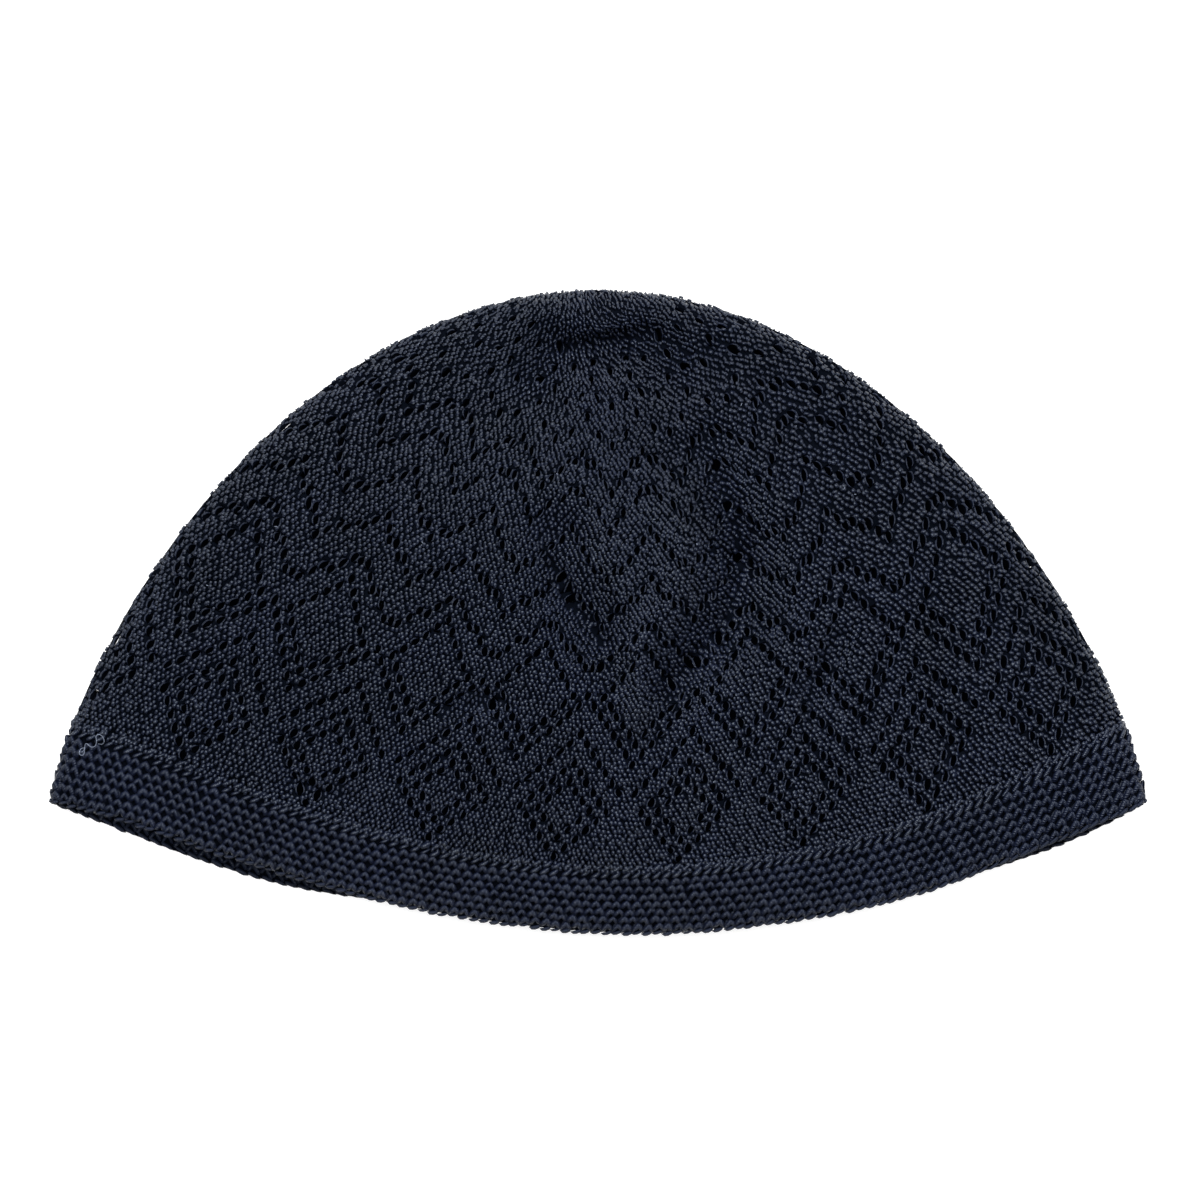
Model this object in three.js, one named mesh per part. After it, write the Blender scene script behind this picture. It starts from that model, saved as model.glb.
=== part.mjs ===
// A knitted kufi lying flat: a tall crown of fine openwork above a thicker ribbed band, folded in two along
// its sides, its mouth towards -Y and its gathered tip towards +Y. Millimetres, +Z up, origin on the floor
// below the middle of the outline.
import * as THREE from "three";
import { ParametricGeometry } from "three/addons/geometries/ParametricGeometry.js";
import { mergeVertices } from "three/addons/utils/BufferGeometryUtils.js";

// Sizes of the cap as it lies
const flatWidth = 250; // corner to corner across the mouth
const flatHeight = 147; // lowest point of the rim to the tip
const rimSag = 29.8; // the rim's lowest point below its two corners
const rimLean = 6; // the rim's lowest point lies this far right of the middle
const domePower = 1.38; // fullness of the folded side line, where 2 would be an ellipse
const foldHeight = 5.6; // thickness of the folded edge, both layers together
const bandShare = 0.11; // part of the way from rim to tip that the band takes up
const crownWall = 1.6;
const bandWall = 2.4;
const seamGap = 0.36; // between the band's upper edge and the crown's lower edge, along the fold

// How the folded edge rounds over, and how the upper layer swells between its folds
const sideRounding = 24; // the larger, the tighter the rounding at the two sides
const tipRounding = 32; // the same at the tip
const flatStart = 1.05; // over 1, so that the lower layer lies truly flat inside the fold
const swellPower = 0.85; // 1 would swell as a parabola
const rimFade = 0.35; // above this share of the way up, the rounds no longer follow the rim's own shape

// The rim's drop below the corners, from the left corner at -1 to the right one at 1. The lower layer's rim
// shows below the upper one towards the corners and hides behind it in the middle.
const rimRows = [
  { across: -1, upper: 0, lower: 0 },
  { across: -0.89, upper: 3.6, lower: 5.2 },
  { across: -0.72, upper: 11.4, lower: 13.2 },
  { across: -0.54, upper: 18.7, lower: 19.5 },
  { across: -0.3, upper: 26, lower: 23.2 },
  { across: 0, upper: 29.8, lower: 24.6 },
  { across: 0.3, upper: 27, lower: 23.6 },
  { across: 0.55, upper: 20.6, lower: 20.4 },
  { across: 0.75, upper: 11.9, lower: 13.6 },
  { across: 0.88, upper: 5.7, lower: 7.5 },
  { across: 1, upper: 0, lower: 0 },
];

// Height of the upper layer above the floor along its middle, from the rim at 0 to the tip at 1
const swellRows = [
  { rise: 0, height: 12.5 },
  { rise: 0.03, height: 15 },
  { rise: 0.11, height: 20 },
  { rise: 0.22, height: 24 },
  { rise: 0.4, height: 28 },
  { rise: 0.58, height: 28 },
  { rise: 0.74, height: 24 },
  { rise: 0.86, height: 18.5 },
  { rise: 0.94, height: 13.5 },
  { rise: 0.98, height: 9 },
  { rise: 1, height: 5.6 },
];

// Stretches of the folds in the upper layer, seen from above: a valley has a depth over 0, a ridge one below 0,
// and reach is how far to each side it fades out.
const foldRows = [
  { fold: "tip crease", fromX: -14, fromY: 53, toX: -9.5, toY: 60.5, reach: 5, depth: 5 },
  { fold: "tip crease", fromX: -9.5, fromY: 60.5, toX: 9.5, toY: 61.5, reach: 5, depth: 6.5 },
  { fold: "tip crease", fromX: 9.5, fromY: 61.5, toX: 18, toY: 56, reach: 5, depth: 5.5 },
  { fold: "tip crease", fromX: 18, fromY: 56, toX: 28, toY: 59, reach: 5, depth: 3 },
  { fold: "right dent", fromX: 24, fromY: 35, toX: 31, toY: 12.5, reach: 7, depth: 5 },
  { fold: "right dent", fromX: 31, fromY: 12.5, toX: 33, toY: 2, reach: 8, depth: 6 },
  { fold: "right dent", fromX: 33, fromY: 2, toX: 17, toY: -15, reach: 7, depth: 4.5 },
  { fold: "right ridge", fromX: 20, fromY: 26, toX: 20, toY: 12, reach: 7, depth: -3 },
  { fold: "right ridge", fromX: 20, fromY: 12, toX: 7, toY: -20, reach: 7, depth: -2.5 },
  { fold: "left dent", fromX: -8.5, fromY: 17, toX: -7, toY: 7, reach: 6, depth: 4 },
  { fold: "left dent", fromX: -7, fromY: 7, toX: -1, toY: -4, reach: 6, depth: 4.5 },
  { fold: "low dent", fromX: 3, fromY: -14, toX: 4, toY: -19, reach: 6, depth: 2.5 },
];

// Facets: columns round each layer, and rows from the seam to the tip and from the rim to the seam
const upperColumns = 52;
const lowerColumns = 24;
const crownRows = 24;
const bandRows = 3;
const edgeCrowding = 0.4; // 0 would space the columns evenly, more crowds them towards the folds

const halfWidth = flatWidth / 2;
const tipY = flatHeight / 2;
const cornerY = rimSag - tipY;
const foldMiddle = foldHeight / 2;
const columns = upperColumns + lowerColumns;

// A smooth curve through one column of a table, as a cubic between rows with the slope of each row's neighbours.
function readRows(rows, key, column, at) {
  const last = rows.length - 1;
  const slope = (k) => {
    const before = rows[Math.max(k - 1, 0)];
    const after = rows[Math.min(k + 1, last)];
    return (after[column] - before[column]) / (after[key] - before[key]);
  };
  const high = Math.max(rows.findIndex((row) => row[key] >= at), 1);
  const low = high - 1;
  const span = rows[high][key] - rows[low][key];
  const t = (at - rows[low][key]) / span;
  const ease = t * t * (3 - 2 * t);
  const bend = span * t * (1 - t) * ((1 - t) * slope(low) - t * slope(high));
  return THREE.MathUtils.lerp(rows[low][column], rows[high][column], ease) + bend;
}

// The folded side line from the right corner to the tip, drawn in by an inset for the wall's inner face.
class FoldLine extends THREE.Curve {
  constructor(inset) {
    super();
    this.inset = inset;
    this.arcLengthDivisions = 400;
  }

  getPoint(t, target = new THREE.Vector3()) {
    const up = 1 - (1 - t) ** 2;
    const out = (halfWidth - this.inset) * Math.sqrt(1 - up ** domePower);
    return target.set(out, cornerY + (tipY - cornerY - this.inset) * up, 0);
  }
}

// How deep the folds press the upper layer down at a place seen from above: the deepest valley less the
// highest ridge, each fading with distance as a bell curve.
function foldDepth(x, y) {
  const place = new THREE.Vector3(x, y, 0);
  let valley = 0;
  let ridge = 0;
  for (const row of foldRows) {
    const from = new THREE.Vector3(row.fromX, row.fromY, 0);
    const to = new THREE.Vector3(row.toX, row.toY, 0);
    const nearest = new THREE.Line3(from, to).closestPointToPoint(place, true, new THREE.Vector3());
    const depth = row.depth * Math.exp(-((nearest.distanceTo(place) / row.reach) ** 2));
    valley = Math.max(valley, depth);
    ridge = Math.min(ridge, depth);
  }
  return valley + ridge;
}

// A point of the cloth: across runs from the left fold at -1 to the right one at 1, rise from the rim at 0 to
// the tip at 1, and the fold line carries the face's inset from the outer face.
function clothPoint(isUpper, across, rise, foldLine, target) {
  const side = foldLine.getPointAt(rise);
  const parabola = 1 - across * across;
  const layer = isUpper ? "upper" : "lower";
  const middleDrop = readRows(rimRows, "across", layer, 0);
  const rimBow = readRows(rimRows, "across", layer, across) / middleDrop;
  const bow = THREE.MathUtils.lerp(rimBow, parabola, Math.min(rise / rimFade, 1));
  const middleY = THREE.MathUtils.lerp(cornerY - middleDrop, tipY - foldLine.inset, rise);
  const lean = isUpper ? rimLean * (1 - rise) * parabola : 0;
  const x = side.x * across + lean;
  const y = side.y + (middleY - side.y) * bow;

  const inside = Math.sqrt((1 - Math.abs(across) ** sideRounding) * (1 - rise ** tipRounding));
  const rounding = Math.min(flatStart * inside, 1);
  const half = (foldMiddle - foldLine.inset) * rounding;
  if (!isUpper) return target.set(x, y, foldMiddle - half);
  const swell = (readRows(swellRows, "rise", "height", rise) - foldHeight) * parabola ** swellPower;
  return target.set(x, y, foldMiddle + half + swell - foldDepth(x, y) * rounding);
}

// Across of a column of facets, counted round the cap from the left fold over the upper layer and back below.
function columnPlace(column) {
  const isUpper = column <= upperColumns;
  const even = isUpper ? (2 * column) / upperColumns - 1 : 1 - (2 * (column - upperColumns)) / lowerColumns;
  return { isUpper, across: even * (1 + edgeCrowding * (1 - even * even)) };
}

// A wall between two rises as one closed body: up the outer face, down the inner one and round its lower edge.
function knittedWall(fromRise, toRise, rows, thickness) {
  const faces = [new FoldLine(0), new FoldLine(thickness)];
  const rises = Array.from({ length: rows + 1 }, (_, row) => {
    const share = toRise < 1 ? row / rows : Math.sin(((row / rows) * Math.PI) / 2);
    return THREE.MathUtils.lerp(fromRise, toRise, share);
  });
  const outer = rises.map((rise) => ({ rise, face: faces[0] }));
  const inner = rises.map((rise) => ({ rise, face: faces[1] })).reverse();
  const stations = [...outer, ...inner, outer[0]];
  const lastStation = stations.length - 1;

  const grid = new ParametricGeometry(
    (u, v, target) => {
      const place = columnPlace(Math.round(u * columns) % columns);
      const station = stations[Math.round(v * lastStation)];
      clothPoint(place.isUpper, place.across, station.rise, station.face, target);
    },
    columns,
    lastStation,
  );
  return closedBody(grid);
}

// The grid with its seam and its tip joined, and without the slivers that collapse at the tip.
function closedBody(grid) {
  grid.deleteAttribute("normal");
  grid.deleteAttribute("uv");
  const joined = mergeVertices(grid);
  const corners = joined.index.array;
  const kept = [];
  for (let i = 0; i < corners.length; i += 3) {
    const [a, b, c] = corners.slice(i, i + 3);
    if (a !== b && b !== c && c !== a) kept.push(a, b, c);
  }
  joined.setIndex(kept);
  joined.computeVertexNormals();
  return joined;
}

const yarn = { color: 0x1e222c, roughness: 0.75, metalness: 0 };
const foldArc = new FoldLine(0).getLength();
const seamHalf = seamGap / 2 / foldArc;

const crown = new THREE.Mesh(
  knittedWall(bandShare + seamHalf, 1, crownRows, crownWall),
  new THREE.MeshStandardMaterial(yarn),
);
crown.name = "crown";

const band = new THREE.Mesh(
  knittedWall(0, bandShare - seamHalf, bandRows, bandWall),
  new THREE.MeshStandardMaterial(yarn),
);
band.name = "band";

const kufi = new THREE.Group();
kufi.add(crown, band);

export default kufi;
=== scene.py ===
import bpy
import numpy as np
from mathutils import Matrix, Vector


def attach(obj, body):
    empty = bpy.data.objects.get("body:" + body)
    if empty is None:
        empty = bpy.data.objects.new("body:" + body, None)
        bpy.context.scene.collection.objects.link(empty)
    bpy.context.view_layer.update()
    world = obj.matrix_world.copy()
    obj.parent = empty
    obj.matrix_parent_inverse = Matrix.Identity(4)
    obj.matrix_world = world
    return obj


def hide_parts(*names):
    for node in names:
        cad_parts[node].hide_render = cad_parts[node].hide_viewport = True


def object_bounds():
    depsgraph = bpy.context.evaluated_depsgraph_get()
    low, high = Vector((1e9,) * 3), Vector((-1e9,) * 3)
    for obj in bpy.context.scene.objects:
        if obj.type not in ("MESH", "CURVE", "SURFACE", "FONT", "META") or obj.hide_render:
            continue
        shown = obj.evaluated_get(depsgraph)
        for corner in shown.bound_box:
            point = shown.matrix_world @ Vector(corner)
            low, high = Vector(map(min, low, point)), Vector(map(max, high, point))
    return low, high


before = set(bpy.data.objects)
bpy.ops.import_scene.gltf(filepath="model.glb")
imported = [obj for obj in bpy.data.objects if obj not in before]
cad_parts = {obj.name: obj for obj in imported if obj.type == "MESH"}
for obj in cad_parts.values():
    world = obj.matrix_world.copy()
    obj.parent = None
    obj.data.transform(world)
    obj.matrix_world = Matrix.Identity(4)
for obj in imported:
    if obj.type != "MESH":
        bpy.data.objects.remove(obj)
cadLow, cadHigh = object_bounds()
mm = 0.001
rng = np.random.default_rng(41)

# The cap's form in millimetres, as its solids have it, and below that its finer creases
capForm = {
    "width": (cadHigh.x - cadLow.x) / mm,
    "height": (cadHigh.y - cadLow.y) / mm,
    "rimSag": 29.8,  # the rim's lowest point below its two corners
    "rimLean": 6,  # the rim's lowest point lies this far right of the middle
    "domePower": 1.38,  # fullness of the folded side line
    "foldHeight": 5.6,  # both layers together at the fold
    "sideRounding": 24,  # the larger, the tighter the rounding at the two sides
    "tipRounding": 32,  # the same at the tip
    "flatStart": 1.05,  # over 1, so that the lower layer lies flat inside the fold
    "swellPower": 0.85,  # 1 would swell as a parabola
    "rimFade": 0.35,  # rise above which the rounds no longer follow the rim's own shape
    # across, drop of the upper layer's rim, drop of the lower layer's rim
    "rimRows": [
        (-1, 0, 0), (-0.89, 3.6, 5.2), (-0.72, 11.4, 13.2), (-0.54, 18.7, 19.5), (-0.3, 26, 23.2),
        (0, 29.8, 24.6), (0.3, 27, 23.6), (0.55, 20.6, 20.4), (0.75, 11.9, 13.6), (0.88, 5.7, 7.5),
        (1, 0, 0),
    ],
    # rise from rim to tip, height of the upper layer along its middle
    "swellRows": [
        (0, 12.5), (0.03, 15), (0.11, 20), (0.22, 24), (0.4, 28), (0.58, 28),
        (0.74, 24), (0.86, 18.5), (0.94, 13.5), (0.98, 9), (1, 5.6),
    ],
    # from x and y, to x and y, reach, depth: valleys press down, ridges have a depth below 0
    "foldRows": [
        (-14, 53, -9.5, 60.5, 5, 5), (-9.5, 60.5, 9.5, 61.5, 5, 6.5), (9.5, 61.5, 18, 56, 5, 5.5),
        (18, 56, 28, 59, 5, 3), (24, 35, 31, 12.5, 7, 5), (31, 12.5, 33, 2, 8, 6), (33, 2, 17, -15, 7, 4.5),
        (20, 26, 20, 12, 7, -3), (20, 12, 7, -20, 7, -2.5), (-8.5, 17, -7, 7, 6, 4),
        (-7, 7, -1, -4, 6, 4.5), (3, -14, 4, -19, 6, 2.5),
    ],
    # the sharp bottoms of the folds, finer than the solids show
    "creaseRows": [
        (-12, 58, -7.4, 60.1, 1.8, 1.4), (-7.4, 60.1, -1, 61.3, 1.9, 3.2), (-1, 61.3, 6, 62, 1.9, 3.8),
        (6, 62, 13.7, 63.3, 1.8, 2), (13.7, 63.3, 20, 59, 1.8, 1.2), (21, 41, 25, 34, 5, -2),
        (27, 32, 31, 20, 2, 2.2), (31, 20, 32.2, 9, 2.2, 3.9),
        (32.2, 9, 29.5, -1, 2.2, 3.7), (29.5, -1, 26, -6, 2, 1.8),
        (-10.5, 10.5, -6, 1.5, 1.6, 3), (-6, 1.5, 0.8, -6.5, 1.6, 2.5),
        (23, -8.5, 15.5, -18, 2, 2.7), (55, -5.5, 48, -18, 2.4, 1.6),
        (-34, -22.5, -24.5, -20, 2.2, 1.4), (-70, -40, -57, -41.5, 2.4, 1.2),
    ],
    # the cloth above the tip's crease hangs a little over it: x, y, share
    "lipRows": [
        (-10, 59.2, 0), (-6, 60.3, 0.8), (0, 61.2, 1), (6, 62, 0.9), (11, 62.8, 0.4), (16, 63.4, 0),
    ],
    "lipPull": 1.4,  # towards the rim
    "lipRaise": 0.5,
    "lipOff": 4.4,  # of the lip's middle above the crease
    "lipReach": (2.2, 5),  # below and above
    "foldPoints": 401,  # along the folded side line
}
halfWidth = capForm["width"] / 2
tipY = capForm["height"] / 2
cornerY = capForm["rimSag"] - tipY
foldMiddle = capForm["foldHeight"] / 2


def smoothRead(rows, column, at):
    # A cubic between rows, with the slope of each row's two neighbours.
    table = np.asarray(rows, float)
    keys, values = table[:, 0], table[:, column]
    last = len(keys) - 1
    before = np.maximum(np.arange(last + 1) - 1, 0)
    after = np.minimum(np.arange(last + 1) + 1, last)
    slope = (values[after] - values[before]) / (keys[after] - keys[before])
    high = np.clip(np.searchsorted(keys, at), 1, last)
    low = high - 1
    span = keys[high] - keys[low]
    t = (at - keys[low]) / span
    ease = t * t * (3 - 2 * t)
    bend = span * t * (1 - t) * ((1 - t) * slope[low] - t * slope[high])
    return values[low] + (values[high] - values[low]) * ease + bend


# The folded side line, spaced evenly along its length
foldT = np.linspace(0, 1, capForm["foldPoints"])
foldUp = 1 - (1 - foldT) ** 2
foldStepX = np.diff(halfWidth * np.sqrt(1 - foldUp ** capForm["domePower"]))
foldStepY = np.diff((tipY - cornerY) * foldUp)
foldArc = np.concatenate([[0], np.cumsum(np.hypot(foldStepX, foldStepY))])
foldArc /= foldArc[-1]


def foldDepth(x, y, rows):
    # The deepest valley less the highest ridge, each fading as a bell curve with distance from its line.
    valley = np.zeros_like(x)
    ridge = np.zeros_like(x)
    for fromX, fromY, toX, toY, reach, depth in rows:
        runX, runY = toX - fromX, toY - fromY
        t = ((x - fromX) * runX + (y - fromY) * runY) / (runX**2 + runY**2)
        t = np.clip(t, 0, 1)
        away = np.hypot(x - fromX - runX * t, y - fromY - runY * t)
        pressed = depth * np.exp(-((away / reach) ** 2))
        valley = np.maximum(valley, pressed)
        ridge = np.minimum(ridge, pressed)
    return valley + ridge


def sideReach(rise):
    # How far the folded side line lies from the middle, as a super-ellipse read at an even rise, and how
    # far up, in shares of the half width and of the height.
    t = np.interp(rise, foldArc, foldT)
    up = 1 - (1 - t) ** 2
    return np.sqrt(np.maximum(1 - up ** capForm["domePower"], 0)), up


def clothPoint(upper, across, rise, inset):
    # The solids' own cloth: rounds bow from fold to fold between the rim's line and a parabola, the fold
    # rounds over as a high power of across, and the upper layer swells and is pressed by its folds. The
    # creases press deeper, and above the one at the tip the cloth is drawn over it as a bell curve.
    out, up = sideReach(rise)
    sideX = (halfWidth - inset) * out
    sideY = cornerY + (tipY - cornerY - inset) * up
    parabola = 1 - across**2
    middle = len(capForm["rimRows"]) // 2
    drop = np.where(upper, capForm["rimRows"][middle][1], capForm["rimRows"][middle][2])
    upperRim = smoothRead(capForm["rimRows"], 1, across)
    lowerRim = smoothRead(capForm["rimRows"], 2, across)
    rimBow = np.where(upper, upperRim, lowerRim) / drop
    bow = rimBow + (parabola - rimBow) * np.minimum(rise / capForm["rimFade"], 1)
    middleY = cornerY - drop + (tipY - inset - cornerY + drop) * rise
    lean = np.where(upper, capForm["rimLean"] * (1 - rise) * parabola, 0)
    x = sideX * across + lean
    y = sideY + (middleY - sideY) * bow
    roundSide = 1 - np.abs(across) ** capForm["sideRounding"]
    roundTip = 1 - rise ** capForm["tipRounding"]
    inside = np.sqrt(np.maximum(roundSide * roundTip, 0))
    rounding = np.minimum(capForm["flatStart"] * inside, 1)
    half = (foldMiddle - inset) * rounding
    lift = smoothRead(capForm["swellRows"], 1, rise) - capForm["foldHeight"]
    swell = lift * np.maximum(parabola, 0) ** capForm["swellPower"]
    pressed = foldDepth(x, y, capForm["foldRows"]) + foldDepth(x, y, capForm["creaseRows"])
    lipX, lipY, lipShare = np.transpose(capForm["lipRows"])
    above = y - np.interp(x, lipX, lipY) - capForm["lipOff"]
    above = above / np.where(above < 0, *capForm["lipReach"])
    lip = np.where(upper, np.interp(x, lipX, lipShare) * np.exp(-(above**2)), 0)
    y = y - capForm["lipPull"] * lip
    raised = half + swell - pressed * rounding + capForm["lipRaise"] * lip
    z = foldMiddle + np.where(upper, raised, -half)
    return np.stack([x, y, z], axis=-1) * mm


# How the wales run round the cap, counted in repeats of the lace pattern
waleLay = {
    "repeats": 16,
    "drift": 0.05,  # the wales crowd a little towards the left
    "foldSpread": 207,  # mm squared, keeps the wales evenly spaced where the cloth turns over the fold
    "leastReach": 0.01,  # mm, for the tip itself
    # rise, wale on the left fold, wale on the right fold
    "foldWales": [
        (0, -4.45, 4.35), (0.19, -4.49, 4.01), (0.37, -4.59, 3.68), (0.62, -4.52, 3.11), (1, -4.45, 2.45),
    ],
}


def layerPlace(wale, rise):
    # A wale's layer and its place across it: even from the left fold over the upper layer to the right
    # fold, and back below. Near a fold the distance runs as its square, so that it is even along the curve.
    left = smoothRead(waleLay["foldWales"], 1, rise)
    right = smoothRead(waleLay["foldWales"], 2, rise)
    turn = left + np.mod(wale - left, waleLay["repeats"])
    upper = turn <= right
    over = 2 * (turn - left) / (right - left) - 1
    under = 1 - 2 * (turn - right) / (left + waleLay["repeats"] - right)
    even = np.clip(np.where(upper, over - waleLay["drift"] * (1 - over**2), under), -1, 1)
    reach = np.maximum(halfWidth * sideReach(rise)[0], waleLay["leastReach"])
    inward = (1 - np.abs(even)) * reach
    spread = waleLay["foldSpread"] / reach
    inward = inward**2 / (inward + spread) * (reach + spread) / reach
    return upper, np.sign(even) * (1 - inward / reach)


def stitchPoint(wale, rise, inset):
    # A wale and a rise put on the cloth, at a depth below its outer face.
    rise = np.clip(rise, 0, 1)
    upper, across = layerPlace(wale, rise)
    return clothPoint(upper, across, rise, inset)


# Steps to each side over which the cloth's slope is read, and the last rise where it is sound
slopeStep = {"wale": 0.01, "rise": 0.002, "lastRise": 0.985}


def clothNormal(wale, rise):
    # Square to the cloth's outer face, from a small step along the round and one up the wale.
    rise = np.clip(rise, 0, slopeStep["lastRise"])
    aside, ahead = slopeStep["wale"], slopeStep["rise"]
    along = stitchPoint(wale + aside, rise, 0) - stitchPoint(wale - aside, rise, 0)
    up = stitchPoint(wale, rise + ahead, 0) - stitchPoint(wale, rise - ahead, 0)
    return unit(np.cross(along, up))


leastLength = 1e-12  # metres, keeps a vector without length from dividing by 0


def unit(vectors):
    # Each vector over its own length.
    return vectors / np.maximum(np.linalg.norm(vectors, axis=-1, keepdims=True), leastLength)


# Every strand's own small patch on the bake's map, in shares of the map, and the wales' room there
strandPatch = {"wide": 0.001, "tall": 0.003, "shift": 0.4, "room": 1.2}


def strands(wale, rise, inset, wide, high, sides):
    # Spindles along paths of a few stations: the ends are points, and each station between is an ellipse
    # square to the path, wide along the cloth and high away from it, all in millimetres.
    count, stations = wale.shape
    normal = clothNormal(wale, rise)
    path = stitchPoint(wale, rise, 0) - normal * (inset * mm)[..., None]
    axis = unit(np.gradient(path, axis=1))
    side = unit(np.cross(axis, normal))
    out = np.cross(side, axis)
    angle = 2 * np.pi * (np.arange(sides) + 0.5) / sides
    ringX = np.cos(angle)[None, None, :, None] * (wide * mm)[:, 1:-1, None, None]
    ringZ = np.sin(angle)[None, None, :, None] * (high * mm)[:, 1:-1, None, None]
    rings = path[:, 1:-1, None] + ringX * side[:, 1:-1, None] + ringZ * out[:, 1:-1, None]
    inner = stations - 2
    points = np.concatenate([path[:, :1], rings.reshape(count, inner * sides, 3), path[:, -1:]], axis=1)

    here = np.arange(sides)
    there = (here + 1) % sides
    first = np.stack([np.zeros_like(here), 1 + here, 1 + there], axis=1)
    tail = 1 + (inner - 1) * sides
    last = np.stack([np.full_like(here, 1 + inner * sides), tail + there, tail + here], axis=1)
    pattern = [first, last]
    for ring in range(inner - 1):
        low, up = 1 + ring * sides, 1 + (ring + 1) * sides
        pattern.append(np.stack([low + here, up + here, up + there], axis=1))
        pattern.append(np.stack([low + here, up + there, low + there], axis=1))
    pattern = np.concatenate(pattern)
    faces = pattern[None] + (np.arange(count) * points.shape[1])[:, None, None]

    share = np.concatenate([[0], np.repeat(np.arange(1, stations - 1), sides), [stations - 1]])
    share = share / (stations - 1)
    around = np.concatenate([[0.5], np.tile(angle / (2 * np.pi), inner), [0.5]])
    turn = (wale.mean(1) + strandPatch["shift"]) / (waleLay["repeats"] + strandPatch["room"])
    middle = np.stack([turn, rise.mean(1)], axis=-1)
    patchX = strandPatch["wide"] * np.cos(2 * np.pi * around)
    patchY = strandPatch["tall"] * (share - 0.5)
    patch = np.stack([patchX, patchY], axis=-1)
    bakeMap = middle[:, None] + patch[None]
    length = np.linalg.norm(np.diff(path, axis=1), axis=2).sum(1) / mm
    yarnMap = np.stack([length[:, None] * share[None], np.repeat(around[None], count, 0)], axis=-1)
    return [a.reshape(-1, a.shape[-1]) for a in (points, faces, bakeMap, yarnMap)]


def makePiece(name, points, faces, maps, material, flatFaces=None):
    # Points, faces and maps straight from arrays. A map that runs over its seam is carried on past 1.
    mesh = bpy.data.meshes.new(name)
    corners = faces.shape[1]
    mesh.vertices.add(len(points))
    mesh.vertices.foreach_set("co", points.astype(np.float32).ravel())
    mesh.loops.add(faces.size)
    mesh.loops.foreach_set("vertex_index", faces.astype(np.int32).ravel())
    mesh.polygons.add(len(faces))
    mesh.polygons.foreach_set("loop_start", np.arange(0, faces.size, corners, dtype=np.int32))
    smooth = np.ones(len(faces), bool)
    if flatFaces is not None:
        smooth[flatFaces] = False
    mesh.polygons.foreach_set("use_smooth", smooth)
    mesh.update(calc_edges=True)
    for mapName, places in maps.items():
        spots = places[faces].copy()
        wrap = 1 if mapName == "yarn" else 0
        spots[..., wrap] += spots[..., wrap].max(1, keepdims=True) - spots[..., wrap] > 0.5
        mesh.uv_layers.new(name=mapName).uv.foreach_set("vector", spots.astype(np.float32).ravel())
    mesh.materials.append(material)
    piece = bpy.data.objects.new(name, mesh)
    bpy.context.collection.objects.link(piece)
    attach(piece, "root")
    print(f"{name}: {faces.shape[0] * (corners - 2)} triangles")
    return piece


def strandPiece(name, arrays, material):
    # A piece from its strands' points, faces and two maps.
    points, faces, bakeMap, yarnMap = arrays
    makePiece(name, points, faces, {"OFBake": bakeMap, "yarn": yarnMap}, material)


def linear(hexColour):
    # An sRGB hex value as linear light.
    parts = np.array([int(hexColour[i : i + 2], 16) / 255 for i in (1, 3, 5)])
    light = np.where(parts <= 0.04045, parts / 12.92, ((parts + 0.055) / 1.055) ** 2.4)
    return [*light.tolist(), 1]


def addNode(tree, kind, settings, links=()):
    # One node with its settings, by input or by attribute, and its links from other nodes' outputs.
    node = tree.nodes.new("ShaderNode" + kind)
    for key, value in settings.items():
        if isinstance(key, int) or key in node.inputs:
            node.inputs[key].default_value = value
        else:
            setattr(node, key, value)
    for key, output in links:
        tree.links.new(output, node.inputs[key])
    return node


def noiseNode(tree, size, roughness, place):
    # Noise with features of a size in millimetres.
    settings = {"Scale": 1 / (size * mm), "Detail": 2.0, "Roughness": roughness}
    return addNode(tree, "TexNoise", settings, [("Vector", place)])


yarnLook = {
    "deep": "#090e1e",  # the dyed yarn where it is darkest
    "worn": "#0c1225",  # where the surface is rubbed a little paler
    "patch": 14,  # mm, size of the paler patches
    "patchEnds": (0.3, 0.7),  # noise at which the yarn is darkest and palest
    "patchRough": 0.5,
    "fibre": 0.5,  # mm, grain of the roughness; real fibres are 0.02 mm, too fine to show
    "fibreRough": 0.6,
    "rough": (0.2, 0.53),
    "plies": 2,
    "ply": 0.8,  # mm along the yarn for one turn of its plies
    "twistDepth": 0.12,  # mm
    "relief": 0.45,
    "index": 1.5,  # of refraction
    "glint": 0.58,
    "glintTint": "#d2dde6",
    "sheen": 0.02,  # of the glint
    "sheenRough": 0.45,
    "sheenTint": "#9fb0d8",
}
# What differs on the band's lattice, its slanted rows and its edge, and on the knitting behind all strands,
# which is painted shade
bandLook = {"rough": (0.28, 0.58), "glint": 0.38}
slantLook = {"rough": (0.22, 0.53), "glint": 0.66}
edgeLook = {"rough": (0.4, 0.7), "glint": 0.36}
# painted shade: the knitting behind the strands is near-black and has no glint, for the shade deep between
# them
paintedShadeLook = {"deep": "#04060b", "worn": "#06080e", "rough": (0.8, 0.95), "glint": 0}


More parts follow.
